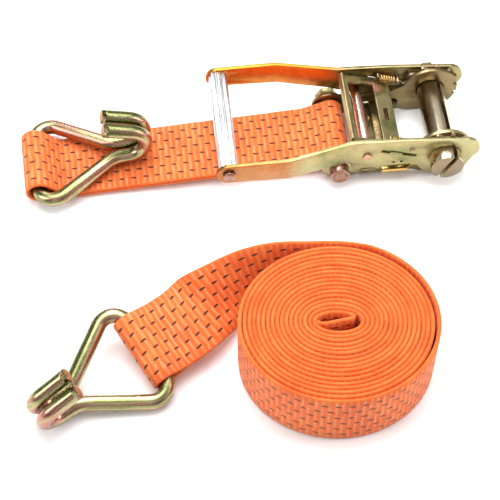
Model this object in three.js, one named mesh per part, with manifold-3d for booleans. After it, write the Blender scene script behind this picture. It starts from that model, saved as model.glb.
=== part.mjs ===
// Ratchet tie down for 50 mm webbing: a ratchet buckle with its short strap and hook, and the rolled
// long strap with its own hook. Millimetres, +Z up, both pieces resting on the plane z = 0.
import * as THREE from 'three';
import { mergeVertices } from 'three/addons/utils/BufferGeometryUtils.js';
import Module from 'manifold-3d';

const wasm = await Module();
wasm.setup();

// ---- driving dimensions ----------------------------------------------------------------------
const GAP = 0.3;
const WEB_WIDTH = 50;
const WEB_THICK = 2.5;
const SHEET = 2.5; // pressed steel sheet of the buckle

// buckle: x along the handle, origin on the spindle axis, handle towards -x
const BUCKLE_AT = [132.4, 98.7];
const BUCKLE_YAW = 6;
const SPINDLE_Z = 21.3;
const SPINDLE_R = 10;
const SPINDLE_SLOT = 3.4;
const SLOT_LEAN = 62; // slot direction above the x axis, degrees
const FRAME_IN = 26.5; // inner face of a frame side plate
const WHEEL_IN = FRAME_IN + SHEET + GAP;
const HANDLE_IN = WHEEL_IN + SHEET + GAP;
const HANDLE_OUT = HANDLE_IN + SHEET;
const HEAD_OUT = 44.5; // outer face of the half shafts' heads
const PIN_Y = 40.7;
const TEETH = 12;
const WHEEL_TIP_R = 21;
const WHEEL_ROOT_R = 16.6;
const WHEEL_PHASE = 23.5;
const LOBE_R = 20;

// anchor bolt of the short strap
const ANCHOR_X = -73.5;
const ANCHOR_Z = 12;
const ANCHOR_R = 5;
const SLEEVE_R = 6.5;

// handle
const GRIP_X = -152;
const GRIP_Z = 34;
const GRIP_HALF = 41.7;
const GRIP_END_R = 8.6;
const FLARE = 9.9;
const FLARE_FROM = -67;
const FLARE_TO = -110;
const TIE_X = -55;
const TIE_Z = 28;

// sliding pawls
const SLIDE_TILT = 18;
const SLIDE_AT = [-31, 28.5];
const SLIDE_LENGTH = 38;
const SLIDE_TRAVEL = 6;
const SLIDE_SHEET = 2.2;
const PAWL_Z = 11.1;
const PAWL_SHEET = 3;
const PAWL_TRAVEL = 5;
const PAWL_REAR = -44;
const BASE_FLANGE_X = -57.5; // the face that the frame pawl's springs push against

// hooks
const WIRE_R = 5.1;
const HOOK_WIDTH = 64; // between the arms' centrelines
const HOOK_CORNER_R = 11;
const HOOK_WAIST_R = 20;
const HOOK_ARM_ANGLE = 33;
const HOOK_SPACING = 12; // between the two parallel wires at the hook's tip
const HOOK_BEND_X = 66;
const HOOK_BEND_R = 13;
const HOOK_OPENING = 22;
const HOOK_STUB = 20;
const EYE_IN_R = 7.2;
const EYE_OUT_R = EYE_IN_R + WEB_THICK;

// short strap, from the anchor bolt to its hook's back bar
const SHORT_LENGTH = 211;
const SHORT_DRIFT = 0.018; // sideways per length, to the bolt's axis
const SHORT_HOOK_YAW = 9;
const SHORT_HOOK_LIFT = 5.5;
const SHORT_RISE = 9.4; // height of the lower ply where it parts to go round the bolt

// rolled long strap
const ROLL_AT = [54.5, -85.5];
const ROLL_A = 63;
const ROLL_B = 57.5;
const LONG_BAR_AT = [-66.6, -86.6, 15.6];
const LONG_HOOK_YAW = 214.3;
const LONG_HOOK_ROLL = 14;
const LONG_HOOK_DROP = 6.5;
const LONG_TONGUE = 27;

const rad = THREE.MathUtils.degToRad;

// ---- materials -------------------------------------------------------------------------------
const zinc = () => new THREE.MeshStandardMaterial({ color: 0xb9b184, roughness: 0.38, metalness: 0.9 });
const steel = () => new THREE.MeshStandardMaterial({ color: 0x9a9488, roughness: 0.35, metalness: 0.9 });
const gold = () => new THREE.MeshStandardMaterial({ color: 0xc9a34e, roughness: 0.35, metalness: 0.9 });
const alloy = () => new THREE.MeshStandardMaterial({ color: 0xc4c6c8, roughness: 0.4, metalness: 0.85 });
const webbing = () => new THREE.MeshStandardMaterial({ color: 0xf86a1e, roughness: 0.85, metalness: 0 });

// ---- solids ----------------------------------------------------------------------------------
function solid(geometry) {
  const plain = geometry.clone();
  plain.deleteAttribute('normal');
  plain.deleteAttribute('uv');
  const merged = mergeVertices(plain, 1e-4);
  const mesh = new wasm.Mesh({
    numProp: 3,
    vertProperties: new Float32Array(merged.attributes.position.array),
    triVerts: new Uint32Array(merged.index.array),
  });
  return new wasm.Manifold(mesh);
}

function fromSolid(body) {
  const mesh = body.getMesh();
  const geometry = new THREE.BufferGeometry();
  geometry.setAttribute('position', new THREE.BufferAttribute(mesh.vertProperties, 3));
  geometry.setIndex(new THREE.BufferAttribute(mesh.triVerts, 1));
  const flat = geometry.toNonIndexed();
  flat.computeVertexNormals();
  return flat;
}

const join = (...parts) => fromSolid(parts.map(solid).reduce((a, b) => a.add(b)));
const cut = (base, ...tools) => fromSolid(tools.map(solid).reduce((a, b) => a.subtract(b), solid(base)));
const common = (a, b) => fromSolid(solid(a).intersect(solid(b)));

// An outline in the x-y plane, extruded from z = low to z = high.
function slab(shape, low, high, curveSegments = 12) {
  const depth = high - low;
  const geometry = new THREE.ExtrudeGeometry(shape, { depth, bevelEnabled: false, curveSegments });
  geometry.translate(0, 0, low);
  return geometry;
}

// An outline in the x-z plane, extruded from y = low to y = high.
function plate(shape, low, high, curveSegments = 12) {
  const geometry = slab(shape, 0, high - low, curveSegments);
  geometry.rotateX(Math.PI / 2);
  geometry.translate(0, high, 0);
  return geometry;
}

function rodY(radius, low, high, x, z, sides = 24) {
  const geometry = new THREE.CylinderGeometry(radius, radius, high - low, sides);
  geometry.translate(x, (low + high) / 2, z);
  return geometry;
}

function box(xs, ys, zs) {
  const geometry = new THREE.BoxGeometry(xs[1] - xs[0], ys[1] - ys[0], zs[1] - zs[0]);
  geometry.translate((xs[0] + xs[1]) / 2, (ys[0] + ys[1]) / 2, (zs[0] + zs[1]) / 2);
  return geometry;
}

function circleHole(shape, x, z, radius) {
  const hole = new THREE.Path();
  hole.absarc(x, z, radius, 0, 2 * Math.PI, true);
  shape.holes.push(hole);
}

function polygon(points) {
  const shape = new THREE.Shape();
  points.forEach(([x, z], i) => (i === 0 ? shape.moveTo(x, z) : shape.lineTo(x, z)));
  shape.closePath();
  return shape;
}

function add(group, name, geometry, material) {
  const mesh = new THREE.Mesh(geometry, material);
  mesh.name = name;
  group.add(mesh);
}

// A piece that is repeated on the near (-y) and the far (+y) side, as ranges of y.
const SIDES = { near: -1, far: 1 };
const span = (side, inner, outer) => (side > 0 ? [inner, outer] : [-outer, -inner]);

// ---- frame -----------------------------------------------------------------------------------
// A point of the sliding pawl's plane, in buckle coordinates.
function slidePoint(along, above) {
  const t = rad(SLIDE_TILT);
  return [
    SLIDE_AT[0] + along * Math.cos(t) + above * Math.sin(t),
    SLIDE_AT[1] - along * Math.sin(t) + above * Math.cos(t),
  ];
}

function frameOutline() {
  const shape = new THREE.Shape();
  const notch = 2.6;
  shape.moveTo(ANCHOR_X, ANCHOR_Z - 12);
  shape.lineTo(-58, 2.4);
  shape.lineTo(-22, 2.4);
  shape.lineTo(-14, 0);
  shape.lineTo(10, 0);
  shape.absarc(0, SPINDLE_Z, LOBE_R, rad(-50), rad(-28), false);
  // lock notches for the open handle
  for (const degrees of [-20, 8]) {
    const a = rad(degrees);
    const b = rad(degrees + 9);
    shape.lineTo(LOBE_R * Math.cos(a), SPINDLE_Z + LOBE_R * Math.sin(a));
    shape.lineTo((LOBE_R - notch) * Math.cos(a), SPINDLE_Z + (LOBE_R - notch) * Math.sin(a));
    shape.lineTo((LOBE_R - notch) * Math.cos(b), SPINDLE_Z + (LOBE_R - notch) * Math.sin(b));
    shape.lineTo(LOBE_R * Math.cos(b), SPINDLE_Z + LOBE_R * Math.sin(b));
  }
  shape.absarc(0, SPINDLE_Z, LOBE_R, rad(24), rad(165), false);
  shape.lineTo(-30, 20.5);
  shape.lineTo(-60, 20.5);
  shape.absarc(ANCHOR_X, ANCHOR_Z, 12, rad(50), rad(270), false);
  circleHole(shape, 0, SPINDLE_Z, SPINDLE_R + 0.4);
  circleHole(shape, ANCHOR_X, ANCHOR_Z, ANCHOR_R + GAP);
  return shape;
}

function frameSide(side) {
  const [low, high] = span(side, FRAME_IN, FRAME_IN + SHEET);
  const pawlSlot = box([PAWL_REAR - PAWL_TRAVEL - 1.5, -22.6], [low - 1, high + 1],
    [PAWL_Z - PAWL_SHEET / 2 - 0.4, PAWL_Z + PAWL_SHEET / 2 + 0.4]);
  const baseSlot = box([-57.5, -52.2], [low - 1, high + 1], [4.7, 7.8]);
  return cut(plate(frameOutline(), low, high, 16), pawlSlot, baseSlot);
}

function basePlate() {
  const wide = FRAME_IN - GAP;
  const floor = box([-60, -30], [-wide, wide], [5, 7.5]);
  const tabs = box([-57.2, -52.5], [-FRAME_IN - SHEET - 0.6, FRAME_IN + SHEET + 0.6], [5, 7.5]);
  const flange = box([-60, BASE_FLANGE_X], [-wide, wide], [5, 16]);
  return join(floor, tabs, flange);
}

function framePawl() {
  const half = WHEEL_IN + SHEET / 2;
  const corner = HANDLE_OUT + 1;
  const nose = 0.95;
  const outline = [[PAWL_REAR, -corner], [-26, -corner]];
  for (const y of [-half, half]) {
    outline.push([-23.4, y - nose], [-16.9, y - nose], [-16.9, y + nose], [-23.4, y + nose]);
    // the sheet is cut back between the wheels
    if (y < 0) outline.push([-23.4, -24], [-32, -21], [-32, 21], [-23.4, 24]);
  }
  outline.push([-26, corner], [PAWL_REAR, corner]);
  return slab(polygon(outline), PAWL_Z - PAWL_SHEET / 2, PAWL_Z + PAWL_SHEET / 2);
}

// A coil spring along +x from the origin.
function coil(length, radius, wire, turns) {
  class Helix extends THREE.Curve {
    getPoint(t, target = new THREE.Vector3()) {
      const angle = 2 * Math.PI * turns * t;
      return target.set(wire + (length - 2 * wire) * t, radius * Math.cos(angle), radius * Math.sin(angle));
    }
  }
  const section = new THREE.Shape();
  section.absarc(0, 0, wire, 0, 2 * Math.PI, false);
  return new THREE.ExtrudeGeometry(section, {
    steps: turns * 8, extrudePath: new Helix(), curveSegments: 3, bevelEnabled: false,
  });
}

function hexagon(radius) {
  return Array.from({ length: 6 }, (_, i) => [
    ANCHOR_X + radius * Math.cos(i * Math.PI / 3),
    ANCHOR_Z + radius * Math.sin(i * Math.PI / 3),
  ]);
}

function buildFrame(group) {
  for (const [name, side] of Object.entries(SIDES)) {
    add(group, `frame_side_${name}`, frameSide(side), zinc());
    const face = FRAME_IN + SHEET;
    const [low, high] = span(side, face + GAP, face + GAP + 2);
    const washer = rodY(9, low, high, ANCHOR_X, ANCHOR_Z, 32);
    add(group, `anchor_washer_${name}`,
      cut(washer, rodY(ANCHOR_R + GAP, low - 1, high + 1, ANCHOR_X, ANCHOR_Z)), zinc());
    const spring = coil(PAWL_REAR - BASE_FLANGE_X - 2 * GAP, 2.6, 0.5, 5);
    spring.translate(BASE_FLANGE_X + GAP, side * 12, PAWL_Z);
    add(group, `frame_pawl_spring_${name}`, spring, gold());
  }
  add(group, 'frame_base_plate', basePlate(), zinc());
  const shank = rodY(ANCHOR_R, -33, 39, ANCHOR_X, ANCHOR_Z);
  const head = rodY(6.8, -38.3, -31.6, ANCHOR_X, ANCHOR_Z, 32);
  const dish = rodY(4.6, -39, -37.4, ANCHOR_X, ANCHOR_Z);
  add(group, 'anchor_bolt', cut(join(shank, head), dish), steel());
  const sleeve = rodY(SLEEVE_R, -FRAME_IN + GAP, FRAME_IN - GAP, ANCHOR_X, ANCHOR_Z);
  add(group, 'anchor_sleeve',
    cut(sleeve, rodY(ANCHOR_R + GAP, -30, 30, ANCHOR_X, ANCHOR_Z)), steel());
  const nut = plate(polygon(hexagon(8.5)), 31.9, 37.4);
  add(group, 'anchor_nut', cut(nut, rodY(ANCHOR_R + GAP, 30, 40, ANCHOR_X, ANCHOR_Z)), zinc());
  add(group, 'frame_pawl', framePawl(), gold());
}

// ---- spindle and ratchet wheels --------------------------------------------------------------
// The part of a disc on one side of the webbing slot, as an outline.
function halfDisc(radius, which, offset) {
  const start = Math.asin(offset / radius);
  const turn = rad(SLOT_LEAN) + (which > 0 ? 0 : Math.PI);
  const shape = new THREE.Shape();
  shape.absarc(0, SPINDLE_Z, radius, turn + start, turn + Math.PI - start, false);
  shape.closePath();
  return shape;
}

function pinBore(radius) {
  const bore = new THREE.CylinderGeometry(radius, radius, 25, 16);
  bore.rotateX(Math.PI / 2);
  bore.rotateY(rad(-SLOT_LEAN));
  bore.translate(0, PIN_Y, SPINDLE_Z);
  return bore;
}

function halfShaft(which) {
  const offset = SPINDLE_SLOT / 2;
  const shaft = plate(halfDisc(SPINDLE_R, which, offset), -HANDLE_OUT - 1, HEAD_OUT - 1, 20);
  const head = plate(halfDisc(SPINDLE_R + 1.4, which, offset), -HEAD_OUT, -HANDLE_OUT - GAP, 20);
  return cut(join(shaft, head), pinBore(1.9));
}

function wheelOutline() {
  const pitch = 360 / TEETH;
  const tooth = [[0, WHEEL_ROOT_R], [9, WHEEL_ROOT_R], [23, WHEEL_TIP_R], [27.5, WHEEL_TIP_R]];
  const points = [];
  for (let i = 0; i < TEETH; i++) {
    for (const [degrees, radius] of tooth) {
      const a = rad(WHEEL_PHASE + i * pitch + degrees);
      points.push([radius * Math.cos(a), SPINDLE_Z + radius * Math.sin(a)]);
    }
  }
  return polygon(points);
}

function buildSpindle(group) {
  add(group, 'spindle_half_left', halfShaft(1), steel());
  add(group, 'spindle_half_right', halfShaft(-1), steel());
  for (const [name, side] of Object.entries(SIDES)) {
    const [low, high] = span(side, WHEEL_IN, WHEEL_IN + SHEET);
    const holes = [1, -1].map((which) => (
      plate(halfDisc(SPINDLE_R + 0.25, which, SPINDLE_SLOT / 2 - 0.25), low - 1, high + 1, 20)));
    add(group, `ratchet_wheel_${name}`, cut(plate(wheelOutline(), low, high), ...holes), steel());
  }
  const [low, high] = [HANDLE_OUT + GAP, HANDLE_OUT + GAP + 1.8];
  const washer = rodY(13.5, low, high, 0, SPINDLE_Z, 32);
  const bore = rodY(SPINDLE_R + GAP, low - 1, high + 1, 0, SPINDLE_Z);
  add(group, 'spindle_washer', cut(washer, bore), zinc());
  const eye = new THREE.TorusGeometry(2.6, 1, 8, 16);
  eye.rotateY(Math.PI / 2);
  eye.translate(0, 0, 14.4);
  eye.rotateY(rad(-SLOT_LEAN));
  eye.translate(0, PIN_Y, SPINDLE_Z);
  add(group, 'spindle_split_pin', join(pinBore(1.5), eye), steel());
}

// ---- handle ----------------------------------------------------------------------------------
function handleOutline() {
  const shape = new THREE.Shape();
  shape.absarc(0, SPINDLE_Z, LOBE_R, rad(200), rad(320), false);
  shape.absarc(13, SPINDLE_Z + 6, 11, rad(-50), rad(80), false);
  shape.lineTo(-30, 42.6);
  shape.lineTo(-62, 44);
  shape.absarc(GRIP_X, GRIP_Z, GRIP_END_R, rad(90), rad(270), false);
  shape.lineTo(-72, 24);
  shape.quadraticCurveTo(-58, 21, -50, 16);
  shape.lineTo(-46, 13.2);
  shape.lineTo(-45, 16.2);
  shape.lineTo(-24, 16.2);
  shape.closePath();
  circleHole(shape, 0, SPINDLE_Z, SPINDLE_R + 0.4);
  circleHole(shape, GRIP_X, GRIP_Z, 3 + GAP);
  circleHole(shape, TIE_X, TIE_Z, 3 + GAP);
  for (const x of [-36, -30.5]) circleHole(shape, x, 19.6, 1.1);
  const play = SLIDE_SHEET / 2 + 0.35;
  const slot = [[-9.5 - SLIDE_TRAVEL, -play], [-9.5 - SLIDE_TRAVEL, play], [11, play], [11, -play]];
  shape.holes.push(new THREE.Path(slot.map(([x, z]) => new THREE.Vector2(...slidePoint(x, z)))));
  const [pinX, pinZ] = slidePoint(5.4, 5.6);
  circleHole(shape, pinX, pinZ, 1.5 + 0.2);
  return shape;
}

function handleSide(side) {
  const strip = polygon([
    [26, HANDLE_IN], [FLARE_FROM, HANDLE_IN], [FLARE_TO, HANDLE_IN + FLARE], [-165, HANDLE_IN + FLARE],
    [-165, HANDLE_OUT + FLARE], [FLARE_TO - 0.6, HANDLE_OUT + FLARE], [FLARE_FROM - 0.6, HANDLE_OUT],
    [26, HANDLE_OUT],
  ].map(([x, y]) => [x, side * y]));
  return common(slab(strip, -5, 50), plate(handleOutline(), -50, 50, 20));
}

// Extruded grip: a rounded section with ribs along its length.
function gripOutline() {
  const ribs = 14;
  const perRib = 5;
  const points = [];
  for (let i = 0; i < ribs * perRib; i++) {
    const a = 2 * Math.PI * i / (ribs * perRib);
    const ripple = 0.45 * Math.cos(ribs * a);
    const squircle = (Math.abs(Math.cos(a)) ** 3 + Math.abs(Math.sin(a)) ** 3) ** (-1 / 3);
    points.push([
      GRIP_X + (6.3 + ripple) * squircle * Math.cos(a),
      GRIP_Z + (7.6 + ripple) * squircle * Math.sin(a),
    ]);
  }
  const shape = polygon(points);
  circleHole(shape, GRIP_X, GRIP_Z, 3 + GAP);
  return shape;
}

function buildHandle(group) {
  const outer = HANDLE_OUT + FLARE;
  for (const [name, side] of Object.entries(SIDES)) {
    add(group, `handle_side_${name}`, handleSide(side), zinc());
    const [x, z] = slidePoint(5.4, 5.6);
    const [low, high] = span(side, 25.5, HANDLE_OUT + 0.8);
    add(group, `handle_spring_pin_${name}`, rodY(1.5, low, high, x, z, 16), steel());
    const spring = coil(12.4, 2.3, 0.5, 6);
    spring.translate(-9, side * 28.4, 5.6);
    spring.rotateY(rad(SLIDE_TILT));
    spring.translate(SLIDE_AT[0], 0, SLIDE_AT[1]);
    add(group, `handle_pawl_spring_${name}`, spring, gold());
  }
  add(group, 'handle_grip', plate(gripOutline(), -GRIP_HALF, GRIP_HALF, 12), alloy());
  const shank = rodY(3, -outer - 1, outer + 3.4, GRIP_X, GRIP_Z, 20);
  add(group, 'grip_bolt', join(shank, rodY(4.2, -outer - 2.6, -outer - GAP, GRIP_X, GRIP_Z)), steel());
  const nut = rodY(5.2, outer + GAP, outer + 3.2, GRIP_X, GRIP_Z, 6);
  add(group, 'grip_nut', cut(nut, rodY(3 + GAP, outer - 1, outer + 5, GRIP_X, GRIP_Z, 20)), steel());
  const bar = rodY(4.2, -HANDLE_IN + GAP, HANDLE_IN - GAP, TIE_X, TIE_Z);
  add(group, 'handle_tie_rod', join(bar, rodY(3, -HANDLE_OUT - 1, HANDLE_OUT + 1, TIE_X, TIE_Z)), gold());
}

function buildHandlePawl(group) {
  const half = HANDLE_IN - 0.5;
  const nose = WHEEL_IN + SHEET / 2;
  const tip = 10.4;
  const outline = [
    [-SLIDE_LENGTH, -half], [-9, -half], [-9, -HANDLE_OUT - 1], [0, -HANDLE_OUT - 1],
    [0, -half], [tip, -nose - 1.1], [tip, -nose + 1.1], [0, -nose + 2.6],
  ];
  const mirrored = outline.map(([x, y]) => [x, -y]).reverse();
  const shape = polygon([...outline, ...mirrored]);
  const window = [[-32, -25], [-32, 25], [-12.5, 25], [-12.5, -25]];
  shape.holes.push(new THREE.Path(window.map(([x, y]) => new THREE.Vector2(x, y))));
  const keyhole = [[-8.2, -6], [-8.2, 5], [-4.6, 5], [-4.6, -6]];
  shape.holes.push(new THREE.Path(keyhole.map(([x, y]) => new THREE.Vector2(x, y))));
  const sheet = slab(shape, -SLIDE_SHEET / 2, SLIDE_SHEET / 2);
  const lip = box([-SLIDE_LENGTH, -SLIDE_LENGTH + 2.2], [-half + 2, half - 2], [-SLIDE_SHEET / 2, 4.6]);
  const posts = [-1, 1].map((side) => box([-11.2, -9.4], span(side, 26.4, 30.4), [0, 8]));
  const geometry = join(sheet, lip, ...posts);
  geometry.rotateY(rad(SLIDE_TILT));
  geometry.translate(SLIDE_AT[0], 0, SLIDE_AT[1]);
  add(group, 'handle_pawl', geometry, zinc());
}

// ---- hooks -----------------------------------------------------------------------------------
// Half of a double J hook's centreline: back bar along y through the origin, tip towards +x, J upwards.
function hookHalf() {
  const beta = rad(HOOK_ARM_ANGLE);
  const points = [];
  const arc = (centre, radius, from, to, count, place) => {
    for (let i = 0; i <= count; i++) {
      const a = from + (to - from) * i / count;
      points.push(place(centre, radius, a));
    }
  };
  const flat = (c, r, a) => new THREE.Vector3(c[0] + r * Math.cos(a), c[1] + r * Math.sin(a), 0);
  points.push(new THREE.Vector3(0, 8, 0));
  const corner = [HOOK_CORNER_R, HOOK_WIDTH / 2 - HOOK_CORNER_R];
  arc(corner, HOOK_CORNER_R, Math.PI, Math.PI / 2 - beta, 7, flat);
  const fromY = corner[1] + HOOK_CORNER_R * Math.cos(beta);
  const waistDrop = HOOK_WAIST_R * (1 - Math.cos(beta));
  const arm = (fromY - waistDrop - HOOK_SPACING / 2) / Math.sin(beta);
  const armEnd = [
    corner[0] + HOOK_CORNER_R * Math.sin(beta) + arm * Math.cos(beta),
    fromY - arm * Math.sin(beta),
  ];
  points.push(new THREE.Vector3(
    armEnd[0] - 0.5 * arm * Math.cos(beta), armEnd[1] + 0.5 * arm * Math.sin(beta), 0));
  const waist = [armEnd[0] + HOOK_WAIST_R * Math.sin(beta), armEnd[1] + HOOK_WAIST_R * Math.cos(beta)];
  arc(waist, HOOK_WAIST_R, -Math.PI / 2 - beta, -Math.PI / 2, 4, flat);
  const upright = (c, r, a) => new THREE.Vector3(
    c[0] + r * Math.cos(a), HOOK_SPACING / 2, c[1] + r * Math.sin(a));
  const sweep = rad(180 - HOOK_OPENING);
  arc([HOOK_BEND_X, HOOK_BEND_R], HOOK_BEND_R, -Math.PI / 2, -Math.PI / 2 + sweep, 8, upright);
  const last = points[points.length - 1];
  const back = new THREE.Vector3(-Math.cos(rad(HOOK_OPENING)), 0, Math.sin(rad(HOOK_OPENING)));
  for (const share of [0.5, 1]) points.push(last.clone().addScaledVector(back, HOOK_STUB * share));
  return points;
}

function hookGeometry() {
  const half = hookHalf();
  const other = half.map((p) => new THREE.Vector3(p.x, -p.y, p.z)).reverse();
  const path = new THREE.CatmullRomCurve3([...other, ...half], false, 'centripetal');
  const section = new THREE.Shape();
  section.absarc(0, 0, WIRE_R, 0, 2 * Math.PI, false);
  return new THREE.ExtrudeGeometry(section, {
    steps: 66, extrudePath: path, curveSegments: 5, bevelEnabled: false,
  });
}

// ---- webbing ---------------------------------------------------------------------------------
// Angle on a circle where the tangent from an outside point touches it.
function tangentAngle(point, centre, radius, turn) {
  const dx = point[0] - centre[0];
  const dz = point[1] - centre[1];
  return Math.atan2(dz, dx) + turn * Math.acos(radius / Math.hypot(dx, dz));
}

const DOUBLE = 2 * WEB_THICK + 0.2;
const PINCH = 17;

// Side view of the short strap: an eye round the anchor sleeve and an eye round the hook's back bar.
function shortStrapOutline() {
  const outR = SLEEVE_R + GAP + WEB_THICK;
  const anchor = [0, ANCHOR_Z];
  const bar = [-SHORT_LENGTH, EYE_OUT_R];
  const shape = new THREE.Shape();
  const parting = -PINCH - 4;
  const under = [parting, SHORT_RISE];
  const over = [parting, SHORT_RISE + DOUBLE];
  shape.moveTo(bar[0], 0);
  shape.lineTo(...under);
  shape.absarc(...anchor, outR, tangentAngle(under, anchor, outR, 1),
    tangentAngle(over, anchor, outR, -1), false);
  shape.lineTo(...over);
  const pinch = [bar[0] + PINCH, DOUBLE + SHORT_RISE * PINCH / (SHORT_LENGTH + parting)];
  shape.lineTo(...pinch);
  shape.absarc(...bar, EYE_OUT_R, tangentAngle(pinch, bar, EYE_OUT_R, 1), rad(270), false);
  circleHole(shape, ...anchor, SLEEVE_R + GAP);
  circleHole(shape, ...bar, EYE_IN_R);
  return shape;
}

function shortStrap() {
  const geometry = plate(shortStrapOutline(), -WEB_WIDTH / 2, WEB_WIDTH / 2, 14);
  const position = geometry.attributes.position;
  const skew = Math.tan(rad(SHORT_HOOK_YAW - BUCKLE_YAW));
  for (let i = 0; i < position.count; i++) {
    const x = position.getX(i);
    const y = position.getY(i);
    if (x < -SHORT_LENGTH + PINCH - 1) position.setX(i, x - skew * y);
    position.setY(i, y + SHORT_DRIFT * x);
  }
  return geometry;
}

// Side view of the sewn eye at the end of the long strap, its tongue pointing to -x.
function eyeOutline() {
  const shape = new THREE.Shape();
  const half = DOUBLE / 2;
  const upper = [-PINCH, half];
  const lower = [-PINCH, -half];
  const origin = [0, 0];
  shape.moveTo(-LONG_TONGUE, -half);
  shape.lineTo(...lower);
  shape.absarc(0, 0, EYE_OUT_R, tangentAngle(lower, origin, EYE_OUT_R, 1),
    tangentAngle(upper, origin, EYE_OUT_R, -1), false);
  shape.lineTo(...upper);
  shape.lineTo(-LONG_TONGUE, half);
  shape.closePath();
  circleHole(shape, 0, 0, EYE_IN_R);
  return shape;
}

// A band lofted through rectangles: each station has a lower edge point, a heading and a lean.
function bandGeometry(stations) {
  const corners = [];
  for (const { low, across, normal, thick } of stations) {
    const high = low.clone().addScaledVector(across, WEB_WIDTH);
    for (const [edge, sign] of [[low, -1], [high, -1], [high, 1], [low, 1]]) {
      corners.push(edge.clone().addScaledVector(normal, sign * thick / 2));
    }
  }
  const index = [];
  const quad = (a, b, c, d) => index.push(a, b, c, a, c, d);
  for (let i = 0; i + 1 < stations.length; i++) {
    for (let k = 0; k < 4; k++) {
      const j = (k + 1) % 4;
      quad(4 * i + k, 4 * i + j, 4 * i + 4 + j, 4 * i + 4 + k);
    }
  }
  const end = 4 * (stations.length - 1);
  quad(3, 2, 1, 0);
  quad(end, end + 1, end + 2, end + 3);
  const geometry = new THREE.BufferGeometry().setFromPoints(corners);
  geometry.setIndex(index);
  return geometry;
}

// Pose of the long strap's hook: back bar along its own y, tip towards its own +x.
function longHookPose() {
  const pose = new THREE.Group();
  pose.position.set(...LONG_BAR_AT);
  pose.rotation.order = 'ZYX';
  pose.rotation.set(rad(-LONG_HOOK_ROLL), rad(LONG_HOOK_DROP), rad(LONG_HOOK_YAW));
  pose.updateMatrixWorld();
  return pose;
}

// The lead runs from the sewn eye to the back of the roll, lower edge on the floor, turning upright.
function leadStations(pose) {
  const across = new THREE.Vector3(0, -1, 0).transformDirection(pose.matrixWorld);
  const along = new THREE.Vector3(-1, 0, 0).transformDirection(pose.matrixWorld);
  const start = new THREE.Vector3(-LONG_TONGUE - GAP, 0, 0).applyMatrix4(pose.matrixWorld);
  start.addScaledVector(across, -WEB_WIDTH / 2);
  const out = WEB_THICK / 2 + 2 * GAP;
  const meets = [146, 134, 122, 110, 98, 88, 79, 72].map((degrees) => new THREE.Vector3(
    ROLL_AT[0] + (ROLL_A + out) * Math.cos(rad(degrees)),
    ROLL_AT[1] + (ROLL_B + out) * Math.sin(rad(degrees)), 0));
  const route = new THREE.CatmullRomCurve3(
    [start, start.clone().addScaledVector(along, 4), ...meets], false, 'centripetal');
  const steps = 30;
  const leanStart = Math.asin(across.z);
  const stations = [];
  for (let i = 0; i <= steps; i++) {
    const t = i / steps;
    const low = route.getPointAt(t);
    const heading = route.getTangentAt(t).setZ(0).normalize();
    const side = new THREE.Vector3(-heading.y, heading.x, 0);
    const rise = THREE.MathUtils.smoothstep(t, -0.1, 0.8);
    const lean = leanStart + (Math.PI / 2 - leanStart) * rise;
    const upright = side.clone().multiplyScalar(Math.cos(lean)).setZ(Math.sin(lean));
    const width = across.clone().lerp(upright, THREE.MathUtils.smoothstep(t, 0, 0.3)).normalize();
    const normal = new THREE.Vector3().crossVectors(heading, width).normalize();
    const thick = THREE.MathUtils.lerp(DOUBLE, WEB_THICK, Math.min(1, t * 4));
    low.z = Math.max(low.z, 0.2 + thick / 2 * Math.cos(lean));
    stations.push({ low, across: width, normal, thick });
  }
  return stations;
}

function rollGeometry() {
  const shape = new THREE.Shape();
  shape.absellipse(...ROLL_AT, ROLL_A, ROLL_B, 0, 2 * Math.PI, false, 0);
  return slab(shape, 0, WEB_WIDTH, 56);
}

// ---- assembly --------------------------------------------------------------------------------
const model = new THREE.Group();

const buckle = new THREE.Group();
buckle.position.set(BUCKLE_AT[0], BUCKLE_AT[1], 0);
buckle.rotation.z = rad(BUCKLE_YAW);
model.add(buckle);
buildFrame(buckle);
buildSpindle(buckle);
buildHandle(buckle);
buildHandlePawl(buckle);

const yaw = rad(BUCKLE_YAW);
const anchorAt = [BUCKLE_AT[0] + ANCHOR_X * Math.cos(yaw), BUCKLE_AT[1] + ANCHOR_X * Math.sin(yaw)];
const strap = new THREE.Group();
strap.position.set(anchorAt[0], anchorAt[1], 0);
strap.rotation.z = yaw;
model.add(strap);
add(strap, 'short_strap', shortStrap(), webbing());

const shortHook = new THREE.Group();
const barAt = new THREE.Vector3(-SHORT_LENGTH, -SHORT_DRIFT * SHORT_LENGTH, EYE_OUT_R);
strap.updateMatrixWorld();
shortHook.position.copy(barAt.applyMatrix4(strap.matrixWorld));
shortHook.rotation.order = 'ZYX';
shortHook.rotation.set(0, rad(-SHORT_HOOK_LIFT), rad(SHORT_HOOK_YAW));
model.add(shortHook);
add(shortHook, 'short_strap_hook', hookGeometry(), zinc());

const pose = longHookPose();
model.add(pose);
add(pose, 'long_strap_hook', hookGeometry(), zinc());
add(pose, 'long_strap_eye', plate(eyeOutline(), -WEB_WIDTH / 2, WEB_WIDTH / 2, 14), webbing());
add(model, 'strap_lead', bandGeometry(leadStations(pose)), webbing());
add(model, 'strap_roll', rollGeometry(), webbing());

// the origin is the middle of the footprint, on the plane that both pieces rest on
model.updateMatrixWorld(true);
const footprint = new THREE.Box3().setFromObject(model, true).getCenter(new THREE.Vector3());
model.position.set(-footprint.x, -footprint.y, 0);

export default model;
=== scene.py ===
"""Looks of the ratchet tie down: straps, wire hooks, springs, metal finishes, floor, lights and camera."""

import math

import bmesh
import bpy
from mathutils import Matrix, Vector, noise


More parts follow.
